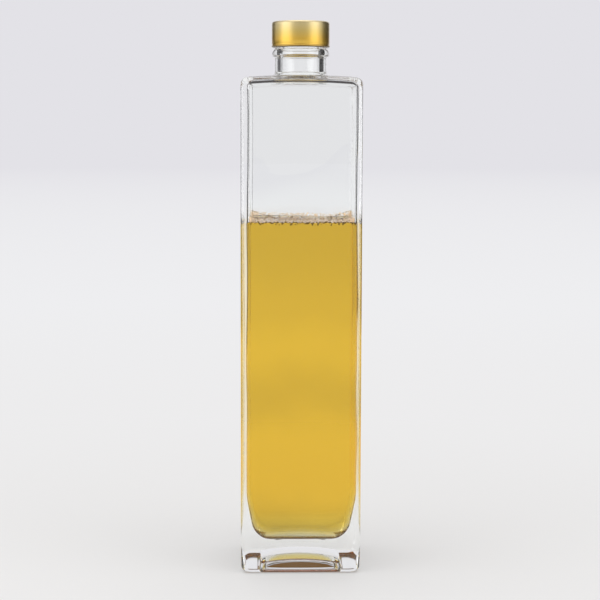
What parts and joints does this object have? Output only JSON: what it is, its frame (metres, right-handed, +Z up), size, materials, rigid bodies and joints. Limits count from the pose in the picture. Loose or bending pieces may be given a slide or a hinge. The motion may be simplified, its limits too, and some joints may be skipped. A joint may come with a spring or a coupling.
{
  "type": "liquor bottle",
  "caption": "Tall square clear glass bottle with a thick base, holding golden liquor to about two thirds, closed by a satin gold screw cap.",
  "frame": {"origin": "centre of the flat ring that the bottle stands on", "axes": "+Z up along the bottle, -Y out of its front face, +X to its right when seen from the front"},
  "size_m": [0.057, 0.057, 0.2624],
  "materials": {
    "clear_glass": "polished, clear",
    "golden_liquor": "clear liquid",
    "gold_aluminium": "satin anodised"
  },
  "bodies": {
    "root": {"glass_bottle": "clear_glass", "liquor": "golden_liquor", "screw_cap": "gold_aluminium"}
  },
  "joints": []
}
